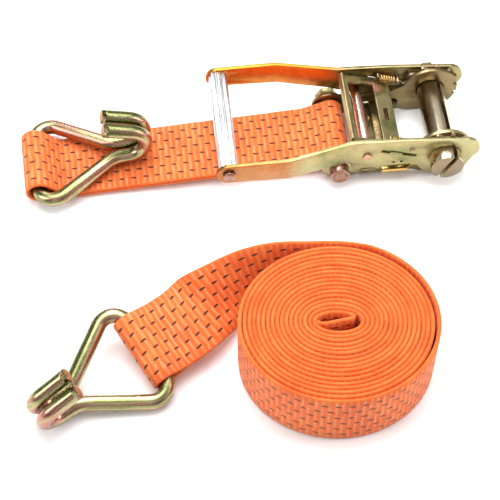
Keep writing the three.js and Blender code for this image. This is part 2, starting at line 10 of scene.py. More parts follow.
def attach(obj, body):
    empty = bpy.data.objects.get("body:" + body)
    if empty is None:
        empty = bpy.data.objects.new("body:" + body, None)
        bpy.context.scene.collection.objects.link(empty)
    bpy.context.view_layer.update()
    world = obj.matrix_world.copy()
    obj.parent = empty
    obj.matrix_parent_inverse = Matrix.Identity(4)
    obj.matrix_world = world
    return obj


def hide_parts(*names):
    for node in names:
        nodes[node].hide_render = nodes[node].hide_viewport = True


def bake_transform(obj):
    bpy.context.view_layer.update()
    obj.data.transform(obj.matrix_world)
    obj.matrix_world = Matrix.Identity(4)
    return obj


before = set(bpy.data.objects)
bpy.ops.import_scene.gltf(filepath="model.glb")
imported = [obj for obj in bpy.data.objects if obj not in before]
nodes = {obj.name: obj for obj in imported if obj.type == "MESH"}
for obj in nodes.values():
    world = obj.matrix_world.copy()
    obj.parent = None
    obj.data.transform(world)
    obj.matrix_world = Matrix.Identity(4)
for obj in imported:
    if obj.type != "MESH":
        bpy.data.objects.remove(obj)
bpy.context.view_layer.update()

MM = 0.001
FLOOR_Z = -0.0004

# ---- where things are, in millimetres and degrees, as in the CAD ---------------------------------
SHIFT = Vector((1.90231, 0.84965, 0.0))  # brings the middle of the CAD's box to the origin
BUCKLE_YAW = 6
SPINDLE_AT = SHIFT + Vector((132.4, 98.7, 0.0))
BUCKLE = Matrix.Translation(SPINDLE_AT) @ Matrix.Rotation(math.radians(BUCKLE_YAW), 4, "Z")
SLIDE_AT = (-31.0, 28.5)
SLIDE_TILT = math.radians(18)
ANCHOR_X = -73.5
ANCHOR_Z = 12.0
SLEEVE_R = 6.5
GAP = 0.3
ANCHOR_R = SLEEVE_R + GAP
STRAP = BUCKLE @ Matrix.Translation((ANCHOR_X, 0.0, 0.0))
SHORT_LENGTH = 211.0  # from the anchor's axis to the hook's bar
SHORT_DRIFT = 0.018  # sideways per length
SHORT_RISE = 9.4  # height of the lower ply where it parts to go round the sleeve
SHORT_HOOK_YAW = 9
SHORT_HOOK_LIFT = 5.5
SHORT_SKEW = math.tan(math.radians(SHORT_HOOK_YAW - BUCKLE_YAW))
EYE_R = 7.2
PLY = 2.5
BAR_Z = EYE_R + PLY
PINCH = 17.0  # where the plies of an eye meet, from the bar
WEB_WIDTH = 50.0


def turned(x, y, z):
    """Rotation about x, then y, then z, in degrees."""
    parts = [Matrix.Rotation(math.radians(a), 4, axis) for a, axis in ((z, "Z"), (y, "Y"), (x, "X"))]
    return parts[0] @ parts[1] @ parts[2]


SHORT_HOOK_AT = STRAP @ Vector((-SHORT_LENGTH, -SHORT_DRIFT * SHORT_LENGTH, BAR_Z))
SHORT_HOOK = Matrix.Translation(SHORT_HOOK_AT) @ turned(0, -SHORT_HOOK_LIFT, SHORT_HOOK_YAW)
LONG_BAR_AT = SHIFT + Vector((-66.6, -86.6, 15.6))
LONG_HOOK_YAW = 214.3
LONG_HOOK_ROLL = 14
LONG_HOOK_DROP = 6.5
LONG_HOOK = Matrix.Translation(LONG_BAR_AT) @ turned(-LONG_HOOK_ROLL, LONG_HOOK_DROP, LONG_HOOK_YAW)
TONGUE = 27.0  # flat end of the long strap's eye, from the bar
ROLL_AT = SHIFT + Vector((54.5, -85.5, 0.0))
ROLL_A = 63.0
ROLL_B = 57.5

# ---- materials ---------------------------------------------------------------------------------


def node(tree, kind, inputs=(), **props):
    item = tree.nodes.new(kind)
    for key, value in props.items():
        setattr(item, key, value)
    for key, value in dict(inputs).items():
        if isinstance(value, bpy.types.NodeSocket):
            tree.links.new(value, item.inputs[key])
        else:
            item.inputs[key].default_value = value
    return item


def calc(tree, op, *values, clamp=False):
    return node(tree, "ShaderNodeMath", dict(enumerate(values)), operation=op, use_clamp=clamp).outputs[0]


def spots(tree, scale, detail=3.0, where=None, rough=0.55, stretch=None):
    """Fractal noise from 0 to 1 in object coordinates, or in those of where."""
    vector = where or node(tree, "ShaderNodeTexCoord").outputs["Object"]
    if stretch:
        vector = node(tree, "ShaderNodeMapping", {"Vector": vector, "Scale": stretch}).outputs[0]
    return node(tree, "ShaderNodeTexNoise",
                {"Vector": vector, "Scale": scale, "Detail": detail, "Roughness": rough}).outputs["Fac"]


def ramp(tree, fac, stops):
    item = node(tree, "ShaderNodeValToRGB", {"Fac": fac})
    band = item.color_ramp
    while len(band.elements) < len(stops):
        band.elements.new(0.5)
    for element, (place, colour) in zip(band.elements, stops):
        element.position = place
        element.color = (*colour, 1.0)
    return item.outputs["Color"]


def mix(tree, fac, a, b, kind="MIX"):
    item = node(tree, "ShaderNodeMix", data_type="RGBA", blend_type=kind)
    for key, value in ((0, fac), (6, a), (7, b)):
        if isinstance(value, bpy.types.NodeSocket):
            tree.links.new(value, item.inputs[key])
        else:
            item.inputs[key].default_value = value if key == 0 else (*value, 1.0)
    return item.outputs[2]


def spread(tree, value, low, high, to_low=0.0, to_high=1.0):
    return node(tree, "ShaderNodeMapRange", {
        "Value": value, "From Min": low, "From Max": high, "To Min": to_low, "To Max": to_high,
    }).outputs[0]


def bump(tree, height, distance, strength):
    inputs = {"Height": height, "Distance": distance, "Strength": strength}
    return node(tree, "ShaderNodeBump", inputs).outputs[0]


def parts_of(tree, kind, output):
    """The three numbers of a vector that a node of this kind gives."""
    return node(tree, "ShaderNodeSeparateXYZ", {0: node(tree, kind).outputs[output]}).outputs


def material(name, **sockets):
    made = bpy.data.materials.new(name)
    made.use_nodes = True
    shader = made.node_tree.nodes["Principled BSDF"]
    for key, value in sockets.items():
        shader.inputs[key.replace("_", " ")].default_value = value
    return made, made.node_tree, shader


def drive(tree, shader, **links):
    for key, socket in links.items():
        tree.links.new(socket, shader.inputs[key.replace("_", " ")])


# shares of a noise that are spread over the whole of a ramp
DRIFT = (0.32, 0.68)
FINE = (0.3, 0.7)
SPECKS = (0.60, 0.74)
BUCKLE_ACROSS = BUCKLE.to_3x3() @ Vector((0.0, 1.0, 0.0))


def drifting(tree, scale):
    """Broad, slow change of tint."""
    return spread(tree, spots(tree, scale, 4.0, rough=0.6), *DRIFT)


def pitted(tree, fine, specks):
    """Fine grain with the specks sunk into it."""
    return bump(tree, calc(tree, "ADD", fine, calc(tree, "MULTIPLY", specks, -0.7)), 0.00006, 0.5)


def metal(name, stops, rough, grain=(1, 1, 1), hue_scale=28.0, zinc_tint_and_painted_reflection=0.0, dark=0.25, sawn=None):
    """Plated or bare metal: drifting tints, fine grain, small dark specks.

    sawn is the colour of faces that look along the spindle.
    """
    made, tree, shader = material(name, Metallic=1.0)
    drift = drifting(tree, hue_scale)
    # bands of tint set by which way the surface faces in the world: partly the zinc's own iridescent pinks
    # and greens, partly painted reflection, pink on the tops and green where the light catches
    if zinc_tint_and_painted_reflection:
        facing = parts_of(tree, "ShaderNodeNewGeometry", "Normal")
        tint_and_reflection_bands = calc(tree, "MULTIPLY_ADD", facing[1], 0.9, calc(tree, "MULTIPLY", facing[2], 1.3))
        tint_and_reflection_bands = calc(tree, "SINE", calc(tree, "MULTIPLY", tint_and_reflection_bands, 4.2))
        drift = calc(tree, "ADD", drift, calc(tree, "MULTIPLY", tint_and_reflection_bands, zinc_tint_and_painted_reflection), clamp=True)
    colour = ramp(tree, drift, stops)
    fine = spots(tree, 900.0, 2.0, stretch=grain)
    specks = spread(tree, spots(tree, 420.0, 3.0, rough=0.7), *SPECKS)
    patches = spread(tree, spots(tree, 55.0, 5.0, rough=0.65), 0.42, 0.72)
    colour = mix(tree, calc(tree, "MULTIPLY", specks, dark), colour, tuple(0.25 * c for c in stops[0][1]))
    colour = mix(tree, calc(tree, "MULTIPLY", patches, 0.22), colour, (0.95, 0.9, 0.8), "MULTIPLY")
    roughness = calc(tree, "ADD", spread(tree, fine, *FINE, *rough), calc(tree, "MULTIPLY", patches, 0.12))
    if sawn:
        facing = parts_of(tree, "ShaderNodeNewGeometry", "True Normal")
        ends = calc(tree, "MULTIPLY", facing[1], BUCKLE_ACROSS.y)
        ends = calc(tree, "MULTIPLY_ADD", facing[0], BUCKLE_ACROSS.x, ends)
        ends = spread(tree, calc(tree, "ABSOLUTE", ends), 0.9, 0.97)
        colour = mix(tree, ends, colour, sawn)
        roughness = calc(tree, "MULTIPLY_ADD", ends, 0.16, roughness)
    drive(tree, shader, Base_Color=colour, Roughness=roughness, Normal=pitted(tree, fine, specks))
    return made


OLIVE = (0.17, 0.145, 0.055)
PALE = (0.37, 0.31, 0.145)
GREEN = (0.22, 0.235, 0.09)
PINK = (0.42, 0.22, 0.155)
GOLD = (0.60, 0.38, 0.10)

zinc = metal(
    "yellow_zinc", [(0.0, GREEN), (0.3, PALE), (0.55, (0.40, 0.35, 0.18)), (0.8, OLIVE), (1.0, PINK)],
    (0.26, 0.42))
# the wire's tints by facing direction are partly painted reflection
wire = metal(
    "yellow_zinc_wire",
    [(0.0, (0.17, 0.18, 0.07)), (0.35, (0.40, 0.36, 0.19)), (0.65, (0.36, 0.22, 0.14)),
     (1.0, (0.42, 0.19, 0.15))],
    (0.16, 0.27), hue_scale=20.0, zinc_tint_and_painted_reflection=0.36, dark=0.1)
gold = metal("golden_zinc", [(0.0, (0.48, 0.31, 0.09)), (0.5, GOLD), (1.0, (0.66, 0.42, 0.24))], (0.2, 0.34))
steel = metal(
    "turned_steel", [(0.0, (0.33, 0.26, 0.18)), (0.5, (0.47, 0.39, 0.27)), (1.0, (0.58, 0.50, 0.37))],
    (0.12, 0.22), grain=(0.12, 1, 1), dark=0.12, sawn=(0.24, 0.185, 0.115))
# darker steel for the ratchet wheels between the plates: the dark tint is painted shade
wheel_steel_shaded = metal(
    "steel_painted_shade", [(0.0, (0.20, 0.14, 0.09)), (0.5, (0.36, 0.27, 0.17)), (1.0, (0.46, 0.38, 0.26))],
    (0.34, 0.5), dark=0.5)
bolt = metal(
    "pink_zinc", [(0.0, (0.17, 0.085, 0.055)), (0.5, (0.36, 0.20, 0.15)), (1.0, (0.30, 0.22, 0.13))],
    (0.2, 0.34))
rosy = metal(
    "rosy_zinc", [(0.0, (0.40, 0.24, 0.11)), (0.5, (0.58, 0.33, 0.22)), (1.0, (0.62, 0.36, 0.33))],
    (0.14, 0.26), dark=0.1)
# a darker copy of the yellow zinc for the far frame plate: painted shade
zinc_far_shaded = metal(
    "yellow_zinc_painted_shade",
    [(0.0, (0.15, 0.13, 0.05)), (0.4, (0.27, 0.21, 0.10)), (0.7, (0.22, 0.15, 0.075)),
     (1.0, (0.34, 0.27, 0.13))],
    (0.26, 0.42))
cut_end = metal(
    "cut_wire_end", [(0.0, (0.26, 0.14, 0.065)), (0.5, (0.52, 0.28, 0.14)), (1.0, (0.66, 0.42, 0.24))],
    (0.45, 0.6), hue_scale=260.0, dark=0.4)
alloy = metal(
    "ribbed_alloy", [(0.0, (0.80, 0.81, 0.84)), (0.5, (0.88, 0.89, 0.91)), (1.0, (0.93, 0.93, 0.94))],
    (0.24, 0.36), grain=(1, 0.05, 1), dark=0.12)


def handle_plate(name, warm_stops, warm_to, base_stops):
    """Zinc plate: one set of tints at the ratchet, warmer ones at the grip's side of x = warm_to (metres)."""
    made, tree, shader = material(name, Metallic=1.0)
    place = parts_of(tree, "ShaderNodeTexCoord", "Object")
    drift = drifting(tree, 26.0)
    edge = calc(tree, "ADD", place[0], calc(tree, "MULTIPLY", drift, 0.012))
    toward_grip = spread(tree, edge, warm_to + 0.01, warm_to - 0.01)
    colour = mix(tree, toward_grip, ramp(tree, drift, base_stops), ramp(tree, drift, warm_stops))
    fine = spots(tree, 800.0, 2.0, stretch=(0.3, 1, 1))
    specks = spread(tree, spots(tree, 380.0, 3.0, rough=0.7), *SPECKS)
    colour = mix(tree, calc(tree, "MULTIPLY", specks, 0.25), colour, (0.2, 0.16, 0.08))
    drive(tree, shader, Base_Color=colour, Roughness=spread(tree, fine, *FINE, 0.26, 0.44),
          Normal=pitted(tree, fine, specks))
    return made


# the weave, in millimetres along and across the strap
RIB = 4.15
DASH = 2 * RIB
ROW = 7.3
DASH_HALF_LENGTH = 2.1
DASH_HALF_BREADTH = 0.85
STITCHED_HALF = 21.9
FACE_HALF = 24.0
YARN = 0.9
PICK = 1.04


def weave():
    """Polyester webbing: crosswise ribs with painted highlights on their tops and painted shade in the
    hollows between them, rows of dark tie stitches, fine lengthwise yarns.
    """
    made, tree, shader = material(
        "orange_webbing", Sheen_Weight=0.14, Sheen_Roughness=0.45, Specular_IOR_Level=0.35)
    shader.inputs["Sheen Tint"].default_value = (1.0, 0.72, 0.55, 1.0)
    place = node(tree, "ShaderNodeAttribute", attribute_name="weave").outputs["Vector"]
    uv = node(tree, "ShaderNodeSeparateXYZ", {0: place})
    along, across = uv.outputs[0], uv.outputs[1]
    wander = spots(tree, 0.12, 2.0, where=place)
    along = calc(tree, "ADD", along, calc(tree, "MULTIPLY", wander, 2.6))
    row = calc(tree, "DIVIDE", across, ROW)
    index = calc(tree, "FLOOR", row)
    side = calc(tree, "MULTIPLY", calc(tree, "SUBTRACT", calc(tree, "FRACT", row), 0.5), ROW)
    stagger = calc(tree, "MULTIPLY", calc(tree, "MODULO", calc(tree, "ABSOLUTE", index), 2.0), 0.5)
    step = calc(tree, "FRACT", calc(tree, "ADD", calc(tree, "DIVIDE", along, DASH), stagger))
    run = calc(tree, "MULTIPLY", calc(tree, "SUBTRACT", step, 0.5), DASH)
    # the tie stitches slant a little across their row
    side = calc(tree, "MULTIPLY_ADD", run, -0.12, side)
    length = calc(tree, "POWER", calc(tree, "ABSOLUTE", calc(tree, "DIVIDE", run, DASH_HALF_LENGTH)), 4.0)
    breadth = calc(tree, "POWER", calc(tree, "ABSOLUTE", calc(tree, "DIVIDE", side, DASH_HALF_BREADTH)), 2.0)
    inside = calc(tree, "LESS_THAN", calc(tree, "ABSOLUTE", across), STITCHED_HALF)
    dash = calc(tree, "SUBTRACT", 1.0, calc(tree, "ADD", length, breadth))
    dash = calc(tree, "MULTIPLY", calc(tree, "MULTIPLY", dash, 2.2, clamp=True), inside)
    rib = calc(tree, "SINE", calc(tree, "MULTIPLY", along, 2 * math.pi / RIB))
    rib = calc(tree, "MULTIPLY_ADD", rib, 0.5, 0.5)
    face = calc(tree, "LESS_THAN", calc(tree, "ABSOLUTE", across), FACE_HALF)
    # streaks along the strap that brighten the painted highlight on the rib tops
    highlight_streak = spread(tree, spots(tree, 0.5, 2.0, where=place, stretch=(1.0, 0.16, 1.0)), 0.36, 0.64)
    yarn = calc(tree, "SINE", calc(tree, "MULTIPLY", across, 2 * math.pi / YARN))
    pick = calc(tree, "SINE", calc(tree, "MULTIPLY", along, 2 * math.pi / PICK))
    fuzz = spots(tree, 1.7, 4.0, where=place, rough=0.7)
    cloud = spread(tree, spots(tree, 0.05, 3.0, where=place), 0.35, 0.65)
    base = ramp(tree, cloud, [
        (0.0, (0.61, 0.090, 0.009)), (0.5, (0.645, 0.120, 0.015)), (1.0, (0.67, 0.148, 0.025))])
    # painted highlight: the rib tops are lighter and pinker
    painted_rib_highlight = calc(tree, "MULTIPLY", calc(tree, "POWER", rib, 2.0), spread(tree, fuzz, *FINE, 0.1, 0.6))
    painted_rib_highlight = calc(tree, "MULTIPLY", painted_rib_highlight, calc(tree, "MULTIPLY_ADD", highlight_streak, 1.1, 0.35))
    painted_rib_highlight = calc(tree, "MULTIPLY", painted_rib_highlight, face, clamp=True)
    colour = mix(tree, painted_rib_highlight, base, (0.82, 0.39, 0.20))
    # painted shade: the hollows between the ribs are a deeper red
    painted_rib_shade = calc(tree, "MULTIPLY", calc(tree, "POWER", calc(tree, "SUBTRACT", 1.0, rib), 3.0), 0.45)
    painted_rib_shade = calc(tree, "MULTIPLY", painted_rib_shade, face)
    colour = mix(tree, painted_rib_shade, colour, (0.80, 0.085, 0.008))
    colour = mix(tree, spread(tree, fuzz, 0.55, 0.75, 0.0, 0.28), colour, (0.78, 0.10, 0.012))
    colour = mix(tree, calc(tree, "MULTIPLY", dash, 0.95), colour, (0.045, 0.012, 0.006))
    yarn = calc(tree, "MULTIPLY_ADD", yarn, 0.5, 0.5)
    threads = calc(tree, "MULTIPLY", yarn, calc(tree, "MULTIPLY_ADD", pick, 0.3, 0.7))
    height = calc(tree, "MULTIPLY_ADD", rib, 0.5, calc(tree, "MULTIPLY", threads, 0.28))
    height = calc(tree, "ADD", height, calc(tree, "MULTIPLY", fuzz, 0.3))
    height = calc(tree, "SUBTRACT", height, calc(tree, "MULTIPLY", dash, 0.8))
    drive(tree, shader, Base_Color=colour, Roughness=spread(tree, fuzz, *FINE, 0.62, 0.85),
          Normal=bump(tree, height, 0.0004, 0.8))
    return made


webbing = weave()
# far handle plate: toward the grip, a golden zinc tint with painted reflection of the orange strap; at the
# ratchet, darker tints that are painted shade
handle_far_reflection_and_shade = handle_plate(
    "handle_zinc_painted_reflection",
    [(0.0, (0.46, 0.15, 0.02)), (0.6, (0.64, 0.22, 0.03)), (1.0, (0.66, 0.29, 0.08))], 0.068,
    [(0.0, (0.13, 0.12, 0.05)), (0.35, (0.27, 0.21, 0.09)), (0.7, (0.33, 0.28, 0.13)),
     (1.0, (0.22, 0.15, 0.07))])
handle_near = handle_plate(
    "handle_zinc_brown",
    [(0.0, (0.27, 0.105, 0.03)), (0.6, (0.38, 0.155, 0.05)), (1.0, (0.42, 0.21, 0.085))], 0.041,
    [(0.0, GREEN), (0.35, PALE), (0.7, (0.40, 0.38, 0.19)), (1.0, (0.34, 0.26, 0.11))])


def pawl_plate():
    """Golden zinc at both ends, darkened between the wheels as painted shade."""
    made, tree, shader = material("pawl_zinc", Metallic=1.0)
    place = parts_of(tree, "ShaderNodeTexCoord", "Object")
    # distance from the buckle's middle plane, in metres
    start = -BUCKLE_ACROSS.dot(BUCKLE.translation) * MM
    reach = calc(tree, "MULTIPLY_ADD", place[1], BUCKLE_ACROSS.y, start)
    reach = calc(tree, "MULTIPLY_ADD", place[0], BUCKLE_ACROSS.x, reach)
    drift = drifting(tree, 60.0)
    ends = ramp(tree, drift, [(0.0, (0.52, 0.34, 0.08)), (0.5, GOLD), (1.0, (0.70, 0.47, 0.22))])
    # painted shade: darker tints for the stretch between the frame plates
    middle = ramp(tree, drift, [
        (0.0, (0.05, 0.035, 0.018)), (0.6, (0.11, 0.08, 0.04)), (1.0, (0.20, 0.14, 0.06))])
    colour = mix(tree, spread(tree, calc(tree, "ABSOLUTE", reach), 0.029, 0.032), middle, ends)
    fine = spots(tree, 800.0, 2.0)
    drive(tree, shader, Base_Color=colour, Roughness=spread(tree, fine, *FINE, 0.24, 0.38),
          Normal=bump(tree, fine, 0.00005, 0.5))
    return made


pawl_zinc = pawl_plate()

# ---- mesh helpers ------------------------------------------------------------------------------


def make(name, verts, faces, paint, weave_at=None):
    """A smooth-shaded object from millimetres; weave_at holds each point's place on the strap."""
    mesh = bpy.data.meshes.new(name)
    mesh.from_pydata([Vector(v) * MM for v in verts], [], faces)
    mesh.update()
    if weave_at:
        attribute = mesh.attributes.new("weave", "FLOAT_VECTOR", "POINT")
        attribute.data.foreach_set("vector", [c for u, v in weave_at for c in (u, v, 0.0)])
    tidy = bmesh.new()
    tidy.from_mesh(mesh)
    bmesh.ops.recalc_face_normals(tidy, faces=tidy.faces)
    tidy.to_mesh(mesh)
    tidy.free()
    for face in mesh.polygons:
        face.use_smooth = True
    mesh.materials.append(paint)
    obj = bpy.data.objects.new(name, mesh)
    bpy.context.scene.collection.objects.link(obj)
    return obj


def chords(points):
    """At each point, the vector from the point before it to the point after it."""
    last = len(points) - 1
    return [points[min(i + 1, last)] - points[max(i - 1, 0)] for i in range(last + 1)]


def eased(points, passes):
    """The points with bends evened out; both ends stay."""
    for _ in range(passes):
        inner = [(a + b * 2 + c) / 4 for a, b, c in zip(points, points[1:], points[2:])]
        points = [points[0]] + inner + [points[-1]]
    return points


def tube(name, path, radius, paint, sides, chamfer):
    """A round wire along a path, with flat chamfered ends."""
    tangents = [chord.normalized() for chord in chords(path)]
    side = tangents[0].orthogonal().normalized()
    rings = []
    for i, centre in enumerate(path):
        if i:
            side = tangents[i - 1].rotation_difference(tangents[i]) @ side
        side = (side - tangents[i] * side.dot(tangents[i])).normalized()
        rings.append((centre, side.copy(), tangents[i].cross(side), radius))
    for end, step in ((0, 1), (-1, -1)):
        centre, u, v, _ = rings[end]
        inward = tangents[end] * step
        body = (centre + inward * chamfer, u, v, radius)
        lip = (centre + inward * chamfer * 0.25, u, v, radius - chamfer * 0.3)
        cap = (centre, u, v, radius - chamfer)
        rings[end] = body
        if end == 0:
            rings = [cap, lip] + rings
        else:
            rings = rings + [lip, cap]
    verts = []
    for centre, u, v, r in rings:
        for k in range(sides):
            a = 2 * math.pi * k / sides
            verts.append(centre + u * (r * math.cos(a)) + v * (r * math.sin(a)))
    faces = []
    for i in range(len(rings) - 1):
        for k in range(sides):
            j = (k + 1) % sides
            faces.append((i * sides + k, i * sides + j, (i + 1) * sides + j, (i + 1) * sides + k))
    faces.append(tuple(range(sides)))
    faces.append(tuple(range((len(rings) - 1) * sides, len(rings) * sides)))
    return make(name, verts, faces, paint)


BAND_HALF = 49.4 / 2
SELVEDGE = 0.9
SELVEDGE_LIP = 0.25


def band(name, stations, paint, thick=2.3, columns=8):
    """Woven strap through stations of (centre, across, normal): flat section with rounded selvedges.

    Gives the object and its length in millimetres. The section's points are (across, out, share of the ribs).
    """
    half, h = BAND_HALF, thick / 2
    flat = [-(half - SELVEDGE) + 2 * (half - SELVEDGE) * k / columns for k in range(columns + 1)]
    lip, lip_h = half - SELVEDGE_LIP, h * 0.6
    profile = [(v, h, 1.0) for v in flat] + [(lip, lip_h, 0.4), (half, 0.0, 0.0), (lip, -lip_h, -0.4)]
    profile += [(v, -h, -1.0) for v in reversed(flat)]
    profile += [(-lip, -lip_h, -0.4), (-half, 0.0, 0.0), (-lip, lip_h, 0.4)]
    verts, places = [], []
    u = 0.0
    for i, (centre, across, normal) in enumerate(stations):
        if i:
            u += (centre - stations[i - 1][0]).length
        rib = math.sin(2 * math.pi * u / RIB)
        swell = 0.10 * rib * (0.7 + 0.6 * noise.noise(Vector((u / 11.0, 3.1, 0.0))))
        waver = 0.18 * noise.noise(Vector((u / 17.0, 9.0, 0.0)))
        for v, n, share in profile:
            verts.append(centre + across * (v + waver * abs(v) / half) + normal * (n + swell * share))
            places.append((u, v))
    size = len(profile)
    faces = []
    for i in range(len(stations) - 1):
        for k in range(size):
            j = (k + 1) % size
            faces.append((i * size + k, i * size + j, (i + 1) * size + j, (i + 1) * size + k))
    faces.append(tuple(range(size)))
    faces.append(tuple(range((len(stations) - 1) * size, len(stations) * size)))
    return make(name, verts, faces, paint, weave_at=places), u


def resampled(points, step):
    """A polyline's points at even steps of its length."""
    out = [points[0].copy()]
    left = step
    for a, b in zip(points, points[1:]):
        length = (b - a).length
        at = left
        while at <= length:
            out.append(a.lerp(b, at / length))
            at += step
        left = at - length
    if (out[-1] - points[-1]).length > 0.2 * step:
        out.append(points[-1].copy())
    return out


def arc2(cx, cz, radius, start, end, count):
    """Points of a flat arc from one angle to the other, in radians."""
    return [(cx + radius * math.cos(start + (end - start) * i / count),
             cz + radius * math.sin(start + (end - start) * i / count)) for i in range(count + 1)]


# ---- hooks -------------------------------------------------------------------------------------
WIRE_R = 5.1
HOOK_WIDTH = 64.0  # between the arms' centrelines
HOOK_CORNER_R = 11.0
HOOK_WAIST_R = 20.0
HOOK_ARM_ANGLE = math.radians(33)
HOOK_SPACING = 12.0  # between the two parallel wires at the tip
HOOK_BEND_X = 66.0
HOOK_BEND_R = 13.0
HOOK_OPENING = math.radians(22)
HOOK_STUB = (4.0, 8.0, 12.0, 16.0, 19.4, 20.0)


def hook_path():
    """Back bar along y through the origin, arms meeting at the waist, and the upright J at +x."""
    sine, cosine = math.sin(HOOK_ARM_ANGLE), math.cos(HOOK_ARM_ANGLE)
    half_gap = HOOK_SPACING / 2
    cx, cy = HOOK_CORNER_R, HOOK_WIDTH / 2 - HOOK_CORNER_R
    flat = [(0.0, y) for y in (3.0, 9.0, 15.0)]
    flat += arc2(cx, cy, HOOK_CORNER_R, math.pi, math.pi / 2 - HOOK_ARM_ANGLE, 18)
    x0, y0 = cx + HOOK_CORNER_R * sine, cy + HOOK_CORNER_R * cosine
    arm = (y0 - HOOK_WAIST_R * (1 - cosine) - half_gap) / sine
    x1, y1 = x0 + arm * cosine, y0 - arm * sine
    flat += [(x0 + (x1 - x0) * i / 7, y0 + (y1 - y0) * i / 7) for i in range(1, 7)]
    wx, wy = x1 + HOOK_WAIST_R * sine, y1 + HOOK_WAIST_R * cosine
    flat += arc2(wx, wy, HOOK_WAIST_R, -math.pi / 2 - HOOK_ARM_ANGLE, -math.pi / 2, 10)
    upright = arc2(HOOK_BEND_X, HOOK_BEND_R, HOOK_BEND_R, -math.pi / 2, math.pi / 2 - HOOK_OPENING, 24)
    half = [Vector((x, y, 0.0)) for x, y in flat] + [Vector((x, half_gap, z)) for x, z in upright]
    back = Vector((-math.cos(HOOK_OPENING), 0.0, math.sin(HOOK_OPENING)))
    half += [half[-1] + back * d for d in HOOK_STUB]
    return [Vector((p.x, -p.y, p.z)) for p in reversed(half)] + half


for name, pose, old in (
        ("hook_short", SHORT_HOOK, "short_strap_hook"), ("hook_long", LONG_HOOK, "long_strap_hook")):
    hook = tube(name, [pose @ p for p in hook_path()], WIRE_R, wire, sides=24, chamfer=0.7)
    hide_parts(old)
    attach(hook, "short_hook" if name == "hook_short" else "long_hook")
    hook.data.materials.append(cut_end)
    # tube() makes the two end faces last
    for cap in hook.data.polygons[-2:]:
        cap.material_index = 1

# ---- springs -----------------------------------------------------------------------------------
SPRING_WIRE_R = 0.5
PAWL_COIL = 12.9
SLIDE_COIL = 12.4


def coil(name, pose, length, radius, turns):
    """A coil spring from pose's origin along its x axis."""
    count = turns * 18
    path = []
    for i in range(count + 1):
        t = i / count
        a = 2 * math.pi * turns * t
        x = SPRING_WIRE_R + (length - 2 * SPRING_WIRE_R) * t
        path.append(pose @ Vector((x, radius * math.cos(a), radius * math.sin(a))))
    return tube(name, path, SPRING_WIRE_R, gold, sides=8, chamfer=0.1)


for label, sign in (("near", -1), ("far", 1)):
    pose = BUCKLE @ Matrix.Translation((-57.2, sign * 12, 11.1))
    spring = coil(f"pawl_coil_{label}", pose, PAWL_COIL, radius=2.6, turns=5)
    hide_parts(f"frame_pawl_spring_{label}")
    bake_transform(spring)
    pose = BUCKLE @ Matrix.Translation((SLIDE_AT[0], 0, SLIDE_AT[1])) @ Matrix.Rotation(SLIDE_TILT, 4, "Y")
    pose = pose @ Matrix.Translation((-9, sign * 28.4, 5.6))
    spring = coil(f"slide_coil_{label}", pose, SLIDE_COIL, radius=2.3, turns=6)
    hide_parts(f"handle_pawl_spring_{label}")
    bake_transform(spring)

# ---- straps ------------------------------------------------------------------------------------
STEP = 0.7  # between the stations of a band, fine enough for its ribs
EYE_EASE = 3


def tangent_angle(px, pz, cx, cz, radius, turn):
    """Where a straight run from a point touches a circle."""
    return math.atan2(pz - cz, px - cx) + turn * math.acos(radius / math.hypot(px - cx, pz - cz))


def smooth(t, low, high):
    t = min(1.0, max(0.0, (t - low) / (high - low)))
    return t * t * (3 - 2 * t)


def short_strap():
    """One band sewn into a doubled strap: an eye round the anchor sleeve and one round the hook."""
    mid = PLY / 2
    over_level = 3 * mid + 0.2
    fork = -PINCH - 4
    slope = SHORT_RISE / (SHORT_LENGTH + fork)

    def ply(x, level):
        return (x, level + max(0.0, (x + SHORT_LENGTH)) * slope)

    r1, r2 = ANCHOR_R + mid, EYE_R + mid
    under, over = ply(fork, mid), ply(fork, over_level)
    pinch = ply(-SHORT_LENGTH + PINCH, over_level)
    a1 = tangent_angle(*under, 0, ANCHOR_Z, r1, 1)
    a2 = tangent_angle(*over, 0, ANCHOR_Z, r1, -1)
    while a1 > a2:
        a1 -= 2 * math.pi
    b1 = tangent_angle(*pinch, -SHORT_LENGTH, BAR_Z, r2, 1)
    lowest = math.radians(270)
    while b1 > lowest:
        b1 -= 2 * math.pi
    seam = -118.0
    path = [ply(seam, mid), under] + arc2(0, ANCHOR_Z, r1, a1, a2, 40) + [over, pinch]
    path += arc2(-SHORT_LENGTH, BAR_Z, r2, b1, lowest, 40) + [ply(seam - 0.4, mid)]
    # soften the creases where the plies part
    flat = eased(resampled([Vector((x, 0.0, z)) for x, z in path], STEP), EYE_EASE)
    spin = STRAP.to_3x3()
    stations = []
    for p, chord in zip(flat, chords(flat)):
        # near the hook the strap turns with it
        skew = SHORT_SKEW * smooth(-p.x, 150.0, 194.0)
        centre = STRAP @ Vector((p.x, SHORT_DRIFT * p.x, p.z))
        across = (spin @ Vector((-skew, 1.0, 0.0))).normalized()
        normal = (spin @ chord.normalized()).cross(across).normalized()
        stations.append((centre, across, normal))
    return stations


strap, length = band("webbing_short", short_strap(), webbing)
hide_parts("short_strap")
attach(strap, "short_strap")
short_flat = round(length)


LEAD_OUT = PLY / 2 + 0.6  # from the roll's outline to the middle of the lead
LEAD_ROUTE = (146, 134, 122, 110, 98, 88, 79, 72)  # degrees round the roll
LEAD_EASE = 260
FLOOR_GAP = 0.35
LEAD_HALF_THICK = 1.3
TAIL_STEPS = 26
TURNS = 17.1
PITCH = 2.86
CORE_A, CORE_B = 13.5, 6.2
ROLL_MID_Z = 25.45


def around(degrees):
    """A point of the lead's middle, beside the roll."""
    a = math.radians(degrees)
    return ROLL_AT + Vector(((ROLL_A + LEAD_OUT) * math.cos(a), (ROLL_B + LEAD_OUT) * math.sin(a), 0.0))


